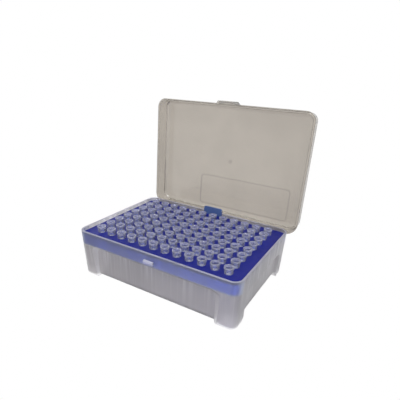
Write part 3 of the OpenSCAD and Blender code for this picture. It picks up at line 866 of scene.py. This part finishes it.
def panel_cut(half_w, top, radius, face, far, slope):
    """Sunk panel in a wall at +Y, with flanks that open outwards."""
    out = far - face
    return loft(upright(arch_outline(half_w, -CUT, top, radius), face),
                upright(arch_outline(half_w + out * slope, -CUT, top + out, radius + out), far))


def grip_outline(b, grow):
    """Outline of the arch under a side, grown; its ends are quarter ellipses."""
    run = b.grip_half_low - b.grip_half_top
    bend = [(b.grip_half_top + (run + grow) * math.cos(a), (b.grip_top + grow) * math.sin(a))
            for a in (math.radians(15 * i) for i in range(7))]
    return ([(-b.grip_half_low - grow, -CUT), (b.grip_half_low + grow, -CUT)] + bend
            + [(-y, z) for y, z in reversed(bend)])


def base_block(b, at):
    """The tub as one solid: drafted walls, and a rounded edge under the feet."""
    edge = arc(at.foot_radius - b.foot_edge, b.foot_edge, b.foot_edge, -90, 90, 6)
    loops = [flat(at.post_outline(r), z) for r, z in edge]
    return loft(*loops, flat(at.post_outline(b.corner_radius), b.height))


def base_openings(block, b, at):
    """Sinks the panels in the four walls, and opens the gaps and arches between the feet."""
    gap, edge = b.foot_gap / 2, b.foot_edge
    carve(block, "DIFFERENCE",
          turned(panel_cut(gap, at.panel_top, b.panel_radius, at.panel_y, at.half_d + CUT,
                           b.flank_slope), *quarter_turns(0, 180)),
          turned(panel_cut(b.side_half, at.side_top, b.side_radius, at.side_x, at.half_w + CUT,
                           b.flank_slope), *quarter_turns(90, 270)))
    slot = [(-gap, b.floor_height), (-gap, edge), (-gap - edge - CUT, -CUT),
            (gap + edge + CUT, -CUT), (gap, edge), (gap, b.floor_height)]
    carve(block, "DIFFERENCE", along_y(slot, -at.half_d - CUT, at.half_d + CUT))
    arch = grip_outline(b, 0.0)
    under = along_x(arch, -at.half_w - CUT, at.half_w + CUT)
    low_band = box_solid(-at.half_w - 2 * CUT, at.half_w + 2 * CUT, -at.half_d, at.half_d, -2 * CUT,
                         b.floor_height)
    carve(block, "DIFFERENCE", carve(under, "INTERSECT", low_band),
          turned(along_x(arch, at.grip_x, at.half_w + CUT), *mirrored_x()))


def base_catch(b, at):
    low = b.height - b.catch_drop
    top = low + b.catch_height
    root = -(at.half_d - b.catch_drop * at.slope - BITE)
    outline = [(root, low), (-at.catch_y, low), (-at.catch_y, top - 2.5 * CATCH_EASE),
               (-at.catch_y + CATCH_EASE, top - CATCH_EASE), (root, top)]
    return along_x(outline, -b.catch_width / 2, b.catch_width / 2)


def base_hollow(b, at):
    """The tub's inside, less its floor, the housings of the arches, the panels' backs and the nubs."""
    low = at.foot_radius - b.wall + b.floor_thickness * at.slope
    high = b.corner_radius - b.wall + CUT * at.slope
    hollow = loft(flat(at.post_outline(low), b.floor_thickness),
                  flat(at.post_outline(high), b.height + CUT))
    flank_run = FLANK_HEIGHT * at.slope
    foot_x = b.foot_gap / 2 + (b.panel_depth - flank_run) * b.flank_slope
    foot_y = b.side_half + (b.side_depth - flank_run) * b.flank_slope
    slab = box_solid(-at.half_w, at.half_w, -at.half_d, at.half_d, 0,
                     b.floor_height + b.floor_thickness)
    for sx in (-1, 1):
        for sy in (-1, 1):
            xs, ys = sorted((sx * foot_x, sx * 2 * foot_x)), sorted((sy * foot_y, sy * 2 * foot_y))
            carve(slab, "DIFFERENCE", box_solid(*xs, *ys, -CUT, b.height))
    arch = along_x(grip_outline(b, HOUSING), at.grip_x - HOUSING, at.half_w)
    front, side = (arch_outline(half, 0, top, radius + HOUSING) for half, top, radius in (
        (foot_x, at.panel_top + PANEL_SHELF, b.panel_radius),
        (foot_y, at.side_top + SIDE_SHELF, b.side_radius)))
    inner, high, ease = b.wall - at.half_d, b.height - NUB_DROP, NUB_EASE
    face = inner + b.nub_out
    nub = [(inner - BITE, high), (face - ease, high - ease), (face, high - 2 * ease),
           (face, high - 3 * ease), (inner - BITE, high - 3.5 * ease)]
    nub_ends = b.nub_place - b.nub_width / 2, b.nub_place + b.nub_width / 2
    return carve(hollow, "DIFFERENCE", slab, turned(arch, *mirrored_x()),
                 turned(along_y(front, at.panel_y - b.wall, at.half_d), *quarter_turns(0, 180)),
                 turned(along_y(side, at.side_x - b.wall, at.half_w), *quarter_turns(90, 270)),
                 turned(along_x(nub, *nub_ends), *mirrored_x()))


def make_base(s, at):
    b, h = s.base, s.hinge
    block = base_block(b, at)
    base_openings(block, b, at)
    cheek = ([(at.wall_y_at_axis - BITE, at.axis_z + h.cheek_radius),
              (at.wall_y_at_axis - BITE, at.axis_z - h.cheek_radius + BITE)]
             + arc(at.axis_y, at.axis_z, h.cheek_radius, -90, 180, 24))
    middle = h.arm_width / 2 + h.cheek_clearance + h.cheek_thickness / 2
    carve(block, "UNION", base_catch(b, at),
          *at_hinges(cheek, h, h.cheek_thickness / 2, (-middle, middle)))
    carve(block, "DIFFERENCE", base_hollow(b, at))
    bore = disc(at.axis_y, at.axis_z, h.pin_radius + h.pin_clearance)
    reach = middle + h.cheek_thickness
    carve(block, "DIFFERENCE",
          turned(along_x(bore, h.place - reach, h.place + reach), *mirrored_x()))
    block.data.transform(at.moved())
    return block


def base_dress(face, b, at):
    """The material place of one of the base's faces."""
    place, facing = face.center, face.normal
    on_rim = place.z > b.height - RIM_NEAR and facing.z > RIM_LEVEL
    on_catch = (abs(place.x) < b.catch_width / 2 + SOFT_LINE
                and place.y - at.middle_y < -at.half_d + SOFT_LINE
                and place.z < b.height - b.catch_drop / 2)
    # the rim and the catch take the painted highlight of the edges
    if on_rim or on_catch:
        return EDGES
    # the front panel's borders slope towards the middle, and never look up
    sloping = (facing.y < FORWARD and max(abs(facing.x), abs(facing.z)) > ASLANT
               and facing.z < NOT_UP)
    # these borders take a painted highlight
    if sloping and abs(place.x) < at.post_x and 2 * b.foot_edge < place.z < at.tray_top:
        return THIRD
    # rounded edges near the bench keep the walls' plastic, without the painted highlight
    by_the_bench = place.z < b.grip_top + FOOT_REACH
    return WALLS if by_the_bench and face.material_index == EDGES else face.material_index


def make_tray(s, at):
    b, t = s.base, s.tray
    top = at.tray_top
    low = top - t.skirt_height
    rim_radius = b.corner_radius - t.drop * at.slope - b.wall - t.clearance
    low_radius = rim_radius - t.skirt_height * at.slope

    def block(shrink, z0, z1):
        return loft(*(flat(at.post_outline(low_radius - shrink + (z - low) * at.slope), z)
                      for z in (z0, z1)))

    tray = block(0.0, low, top)
    tab_y = at.post_y + rim_radius - t.tab_thickness - t.clearance
    tab = arch_outline(t.tab_width / 2, top - t.thickness, TAB_TOP, t.tab_radius)
    carve(tray, "UNION", along_y(tab, tab_y, tab_y + t.tab_thickness))
    side_open = at.post_y - t.skirt_end
    carve(tray, "DIFFERENCE", block(t.skirt_thickness, low - CUT, top - t.thickness),
          box_solid(-at.half_w, at.half_w, -side_open, side_open, low - CUT, top - t.thickness))
    return tray


def make_tip(s):
    """One tip, point down, with its mouth at z = 0: rings that carry the fins' outline."""
    t = s.tips
    turn = math.tau / t.fins
    inner_half = math.asin(t.fin_thickness / 2 / t.collar_radius)
    outer_half = math.asin(t.fin_thickness / 2 / t.fin_low)
    gap = (turn - 2 * inner_half) / 3
    spots = []
    for k in range(t.fins):
        a = k * turn
        spots += [(a - inner_half, False), (a - outer_half, True), (a + outer_half, True),
                  (a + inner_half, False), (a + inner_half + gap, False),
                  (a + inner_half + 2 * gap, False)]

    def round_loop(radius, z, fin_radius=None):
        """All round at one radius, or out to another on the fins."""
        reaches = ((a, fin_radius if on_fin and fin_radius else radius) for a, on_fin in spots)
        return [Vector((r * math.cos(a), r * math.sin(a), z)) for a, r in reaches]

    mouth, lip, ring = t.mouth_radius, t.lip, t.ring_radius
    collar = [round_loop(mouth, -lip), round_loop(mouth + lip / 2, -lip / 4),
              round_loop(mouth + lip, 0.0), round_loop(ring - lip, 0.0),
              round_loop(ring - lip / 4, -lip / 4), round_loop(ring, -lip),
              round_loop(ring, lip - t.ring_height), round_loop(ring - lip, -t.ring_height),
              round_loop(t.collar_radius, -t.ring_height, t.fin_top),
              round_loop(t.collar_radius, -t.collar_height, t.fin_low)]
    shank = [round_loop(radius, -depth) for radius, depth in (
        (t.shank_radius, t.collar_height), (t.shoulder_radius, t.shoulder_length),
        (t.waist_radius, t.waist_length), (t.point_radius, t.length), (t.point_bore, t.length),
        (t.waist_radius - t.wall, t.waist_length), (t.shoulder_radius - t.wall, t.shoulder_length),
        (t.funnel_radius, t.funnel_depth))]
    bm = bmesh.new()
    mark = bm.faces.layers.bool.new("ring")
    rings = [[bm.verts.new(p) for p in loop] for loop in collar + shank]
    for place, (low, high) in enumerate(zip(rings, rings[1:] + rings[:1])):
        # the ring, the collar and, last of all, the funnel are the thick ones
        thick = place < len(collar) - 1 or place == len(rings) - 1
        for i, corner in enumerate(low):
            after = (i + 1) % len(low)
            face = bm.faces.new((corner, low[after], high[after], high[i]))
            face[mark] = thick
    bmesh.ops.recalc_face_normals(bm, faces=bm.faces)
    for face in bm.faces:
        face.smooth = True
    for edge in bm.edges:
        edge.smooth = edge.calc_face_angle(0.0) < SHARP_EDGE
    mesh = bpy.data.meshes.new("tip")
    bm.to_mesh(mesh)
    bm.free()
    return make_object("tip", mesh)


def lid_solid(profile, at):
    """A solid in the lid's outline: profile holds (how far drawn in, height above the rim)."""
    return loft(*(flat(at.lid_outline(inset), at.lid_rim_z + z) for inset, z in profile))


def make_lid(s, at):
    l, h = s.lid, s.hinge
    # the wall's inset grows with height, and the rounded edge ends it
    edge = [(l.height * at.lid_slope + l.edge - x, y)
            for x, y in arc(0, l.height - l.edge, l.edge, 0, 90, 5)]
    lid = lid_solid([(0.0, 0.0)] + edge, at)
    out, high, ease = l.band_out, l.band_height, BAND_EASE
    # two arms, with heels that meet the base's wall when the lid stands open
    back, rim = at.lid_back, at.lid_rim_z
    inner, outer = at.axis_y - h.arm_radius, at.axis_y + h.arm_radius
    arm = ([(back - BITE, rim + h.arm_rise), (inner, rim + CUT)]
           + arc(at.axis_y, at.axis_z, h.arm_radius, 180, 90, 12)
           + [(at.axis_y, at.axis_z - at.heel_reach), (outer, at.axis_z - at.heel_reach),
              (outer, rim), (back, rim + h.arm_rise)])
    carve(lid, "UNION",
          lid_solid([(ease - out, 0.0), (-out, ease), (-out, high - ease), (ease - out, high)], at),
          *at_hinges(arm, h, h.arm_width / 2))
    inside_h = l.height - l.plate
    inside = [(l.wall - CUT * at.lid_slope, -CUT)] + [
        (l.wall + inside_h * at.lid_slope + l.fillet - x, y)
        for x, y in arc(0, inside_h - l.fillet, l.fillet, 0, 90, 8)]
    carve(lid, "DIFFERENCE", lid_solid(inside, at))
    reach = h.arm_width / 2 + h.cheek_clearance + h.cheek_thickness
    carve(lid, "UNION", *at_hinges(disc(at.axis_y, at.axis_z, h.pin_radius), h, reach),
          lid_flap(l, at), *lid_marks(l, at))
    for face in lid.data.polygons:
        # the raised marks take painted shade
        on_mark = face.center.z > at.lid_top_z + l.label_height / 2
        # the flap takes the painted highlight of the edges
        on_flap = face.center.y < at.lid_front - l.band_out - SOFT_LINE
        face.material_index = THIRD if on_mark else EDGES if on_flap else WALLS
    stand_open = (Matrix.Translation((0, HINGE.y, HINGE.z)) @ Matrix.Rotation(-OPEN_ANGLE, 4, "X")
                  @ Matrix.Translation((0, -at.axis_y, -at.axis_z)))
    lid.data.transform(stand_open)
    return lid


def lid_flap(l, at):
    """Flap on the lid's front, with the bead that passes below the catch."""
    front, rim, ease = at.lid_front, at.lid_rim_z, l.flap_ease
    face, root = front - l.flap_out, front + BITE
    back, tip, top = face + l.flap_thickness, rim - l.flap_drop, rim + l.flap_rise
    bead = -(at.catch_y + l.latch_gap)
    outline = [(root, top), (front, top), (face + ease, top - 4 * ease), (face, rim + 2 * ease),
               (face, tip + ease), (face + ease, tip), (bead - ease, tip), (bead, tip + ease),
               (bead, tip + 2 * ease), (back, tip + 3 * ease), (back, rim - ease),
               (back + ease, rim), (root, rim)]
    wide, narrow, outside = l.flap_root / 2, l.flap_tip / 2, face - CUT / 10
    plan = [(-wide, root + BITE), (-wide, front), (-narrow, outside), (narrow, outside),
            (wide, front), (wide, root + BITE)]
    return carve(along_x(outline, -wide, wide), "INTERSECT", along_z(plan, tip - CUT, top + CUT))


def lid_marks(l, at):
    """Raised label frame and round moulding mark on the lid's top."""
    y = at.lid_back - l.label_back - l.label_depth / 2
    low, high = at.lid_top_z - BITE, at.lid_top_z + l.label_height

    def frame_outline(inset):
        half_w, half_d = l.label_width / 2 - inset, l.label_depth / 2 - inset
        radius = l.label_radius - inset
        return [(px + l.label_place, py + y)
                for px, py in round_outline(half_w, -half_d, half_d, radius, radius, 8)]

    label = along_z(frame_outline(0), low, high)
    window = along_z(frame_outline(l.label_line), low - CUT, high + CUT)
    gate = disc(0, (at.lid_back + at.lid_front) / 2, l.gate_radius)
    return [carve(label, "DIFFERENCE", window), along_z(gate, low, high)]


# ---------------------------------------------------------------- operators

class TIPBOX_OT_base(bpy.types.Operator):
    """Adds the tub: drafted walls, sunk panels, four hollow feet, catch and hinge cheeks"""

    bl_idname = "tip_box.base"
    bl_label = "Base"

    def execute(self, context):
        s = context.scene.tip_box
        at, finish = Layout(s), s.finish
        made = soften(make_base(s, at), finish.base_softness, edge_slot=EDGES)
        for face in made.data.polygons:
            face.material_index = base_dress(face, s.base, at)
        hand_over(made, "base_shell", "box", ["base"], "base_shell",
                  wall_plastic("base plastic", s, at),
                  # painted highlight on the rim, the catch and the rounded edges
                  milky_plastic("rim plastic", finish.rim_highlight_colour, finish.rim_clear, RIM_ROUGH,
                                BASE_GRAIN),
                  # painted highlight on the front panel's sloped borders
                  milky_plastic("flank plastic", finish.flank_highlight_colour, finish.base_clear, BASE_ROUGH,
                                BASE_GRAIN))
        return {"FINISHED"}


class TIPBOX_OT_tray(bpy.types.Operator):
    """Adds the perforated tray with its skirt and grip tab"""

    bl_idname = "tip_box.tray"
    bl_label = "Tray"

    def execute(self, context):
        s = context.scene.tip_box
        at, finish = Layout(s), s.finish
        material = blue_plastic("tray plastic", (finish.tray_colour, finish.lit_skirt_colour,
                                                 finish.lit_tab_colour), at.tray_top)
        made = make_tray(s, at)
        perforation_tree().use(made, s.tips, (0.0, 0.0, at.tray_top),
                               {"Hole radius": s.tray.hole_radius,
                                "Punch depth": 4 * s.tray.thickness, "Material": material})
        made.data.transform(at.moved())
        soften(made, finish.edge_softness)
        hand_over(made, "tray_deck", "box", ["tray"], "tray_blue", material)
        return {"FINISHED"}


class TIPBOX_OT_tips(bpy.types.Operator):
    """Adds the 96 tips that hang in the tray by their collars"""

    bl_idname = "tip_box.tips"
    bl_label = "Tips"

    def execute(self, context):
        s = context.scene.tip_box
        at, finish, tips = Layout(s), s.finish, s.tips
        body = clear_plastic("tip plastic", finish.tip_colour, finish.tip_clear)
        ring = clear_plastic("ring plastic", finish.ring_colour, finish.ring_clear)
        made = make_tip(s)
        rack_tree().use(made, tips, (0.0, at.middle_y, at.tray_top + tips.collar_height),
                        {"Seed": tips.seed, "Tilt": tips.tilt, "Material": body,
                         "Marked material": ring})
        hand_over(made, "tips", "box", TIP_NODES, "tip_clear", body, ring)
        return {"FINISHED"}


class TIPBOX_OT_lid(bpy.types.Operator):
    """Adds the lid, standing open on its pins, with latch flap and label frame"""

    bl_idname = "tip_box.lid"
    bl_label = "Lid"

    def execute(self, context):
        s = context.scene.tip_box
        finish = s.finish
        made = soften(make_lid(s, Layout(s)), finish.edge_softness, edge_slot=EDGES)
        hand_over(made, "lid_shell", "cover", ["lid"], "lid_shell",
                  *(milky_plastic(name, rgb, finish.lid_clear, roughness, LID_GRAIN)
                    for name, rgb, roughness in (
                        ("lid plastic", finish.lid_colour, LID_ROUGH),
                        # painted highlight on the lid's rounded edges and its flap
                        ("lid edge plastic", finish.edge_highlight_colour, EDGE_ROUGH),
                        # painted shade on the raised marks
                        ("mark plastic", finish.mark_shade_colour, EDGE_ROUGH))))
        return {"FINISHED"}


def white_to_eye(g, surface, white_kind, end, levels):
    """Mixes plain white over a shader, for what the eye, mirrors and clear plastic see of it."""
    path = g.add("ShaderNodeLightPath")
    at_eye, through = levels
    seen = WHITE_TO_ALL
    for name, amount in (("Is Camera Ray", at_eye), ("Is Glossy Ray", through),
                         ("Is Transmission Ray", through)):
        part = g.add("ShaderNodeMath", {0: path.outputs[name], 1: amount, 2: seen},
                     operation="MULTIPLY_ADD", use_clamp=True)
        seen = part.outputs["Value"]
    white = g.add(white_kind, {"Color": WHITE})
    mix = g.add("ShaderNodeMixShader", {"Fac": seen, 1: surface, 2: white.outputs[0]})
    g.dress(g.tree.nodes[end], {"Surface": mix.outputs["Shader"]})


class TIPBOX_OT_stage(bpy.types.Operator):
    """Sets the pale floor, the soft light and the camera"""

    bl_idname = "tip_box.stage"
    bl_label = "Stage"

    def execute(self, context):
        scene = context.scene
        s = scene.tip_box.stage
        scene.view_settings.view_transform = "Standard"
        self.floor(s)
        self.room(scene, s)
        self.lamp(scene, s)
        self.camera(scene, s)
        return {"FINISHED"}

    def floor(self, s):
        outline = round_outline(FLOOR_HALF, -FLOOR_HALF, FLOOR_HALF, FLOOR_CORNER, FLOOR_CORNER)
        bm = bmesh.new()
        bm.faces.new([bm.verts.new(p) for p in flat(outline, 0.0)])
        mesh = bpy.data.meshes.new("floor")
        bm.to_mesh(mesh)
        bm.free()
        floor = make_object("floor", mesh)
        g = Graph("pale floor")
        g.dress(g.shader, {"Base Color": (*s.floor_colour, 1.0), "Roughness": FLOOR_ROUGH,
                           "Specular IOR Level": 0.0})
        white_to_eye(g, g.shader.outputs["BSDF"], "ShaderNodeEmission", "Material Output",
                     FLOOR_WHITE)
        floor.data.materials.append(g.material)

    def room(self, scene, s):
        world = bpy.data.worlds.new("room")
        world.use_nodes = True
        g = Nodes(world.node_tree)
        room = g.dress(g.tree.nodes["Background"], {"Color": WHITE, "Strength": s.ambient})
        white_to_eye(g, room.outputs["Background"], "ShaderNodeBackground", "World Output",
                     ROOM_WHITE)
        scene.world = world

    def lamp(self, scene, s):
        light = bpy.data.lights.new("key", "SUN")
        light.energy = s.key_level
        light.angle = s.key_softness
        lamp = bpy.data.objects.new("key", light)
        scene.collection.objects.link(lamp)
        lamp.rotation_euler = Vector(KEY_AIM).to_track_quat("-Z", "Y").to_euler()

    def camera(self, scene, s):
        eye = bpy.data.objects.new("camera", bpy.data.cameras.new("camera"))
        scene.collection.objects.link(eye)
        back = Vector((math.sin(s.azimuth) * math.cos(s.elevation),
                       -math.cos(s.azimuth) * math.cos(s.elevation), math.sin(s.elevation)))
        eye.location = Vector(s.target) + back * s.distance
        look = Euler((math.pi / 2 - s.elevation, 0.0, s.azimuth)).to_matrix()
        eye.rotation_euler = (look @ Matrix.Rotation(s.roll, 3, "Z")).to_euler()
        eye.data.lens = s.lens
        eye.data.sensor_width = FILM_WIDTH
        eye.data.shift_y = s.shift
        eye.data.clip_start = NEAREST
        scene.camera = eye


class TIPBOX_PT_panel(bpy.types.Panel):
    """Lists the pieces of the tip box, each with its sizes"""

    bl_idname = "TIPBOX_PT_panel"
    bl_label = "Tip Box"
    bl_space_type = "VIEW_3D"
    bl_region_type = "UI"
    bl_category = "Tip Box"

    def draw(self, context):
        s = context.scene.tip_box
        for operator, groups in ((TIPBOX_OT_base, (s.base, s.hinge)), (TIPBOX_OT_tray, (s.tray,)),
                                 (TIPBOX_OT_tips, (s.tips,)), (TIPBOX_OT_lid, (s.lid, s.finish)),
                                 (TIPBOX_OT_stage, (s.stage,))):
            box = self.layout.box()
            box.operator(operator.bl_idname)
            for group in groups:
                for key in group.__annotations__:
                    box.prop(group, key)


CLASSES = (BaseSizes, TraySizes, TipSizes, LidSizes, HingeSizes, Finishes, StageSizes, TipBoxSettings,
           TIPBOX_OT_base, TIPBOX_OT_tray, TIPBOX_OT_tips, TIPBOX_OT_lid, TIPBOX_OT_stage,
           TIPBOX_PT_panel)


def register():
    for cls in CLASSES:
        bpy.utils.register_class(cls)
    bpy.types.Scene.tip_box = PointerProperty(type=TipBoxSettings)


def unregister():
    del bpy.types.Scene.tip_box
    for cls in reversed(CLASSES):
        bpy.utils.unregister_class(cls)


def main():
    register()
    bpy.ops.tip_box.stage()
    bpy.ops.tip_box.base()
    bpy.ops.tip_box.tray()
    bpy.ops.tip_box.tips()
    bpy.ops.tip_box.lid()


if __name__ == "__main__":
    main()
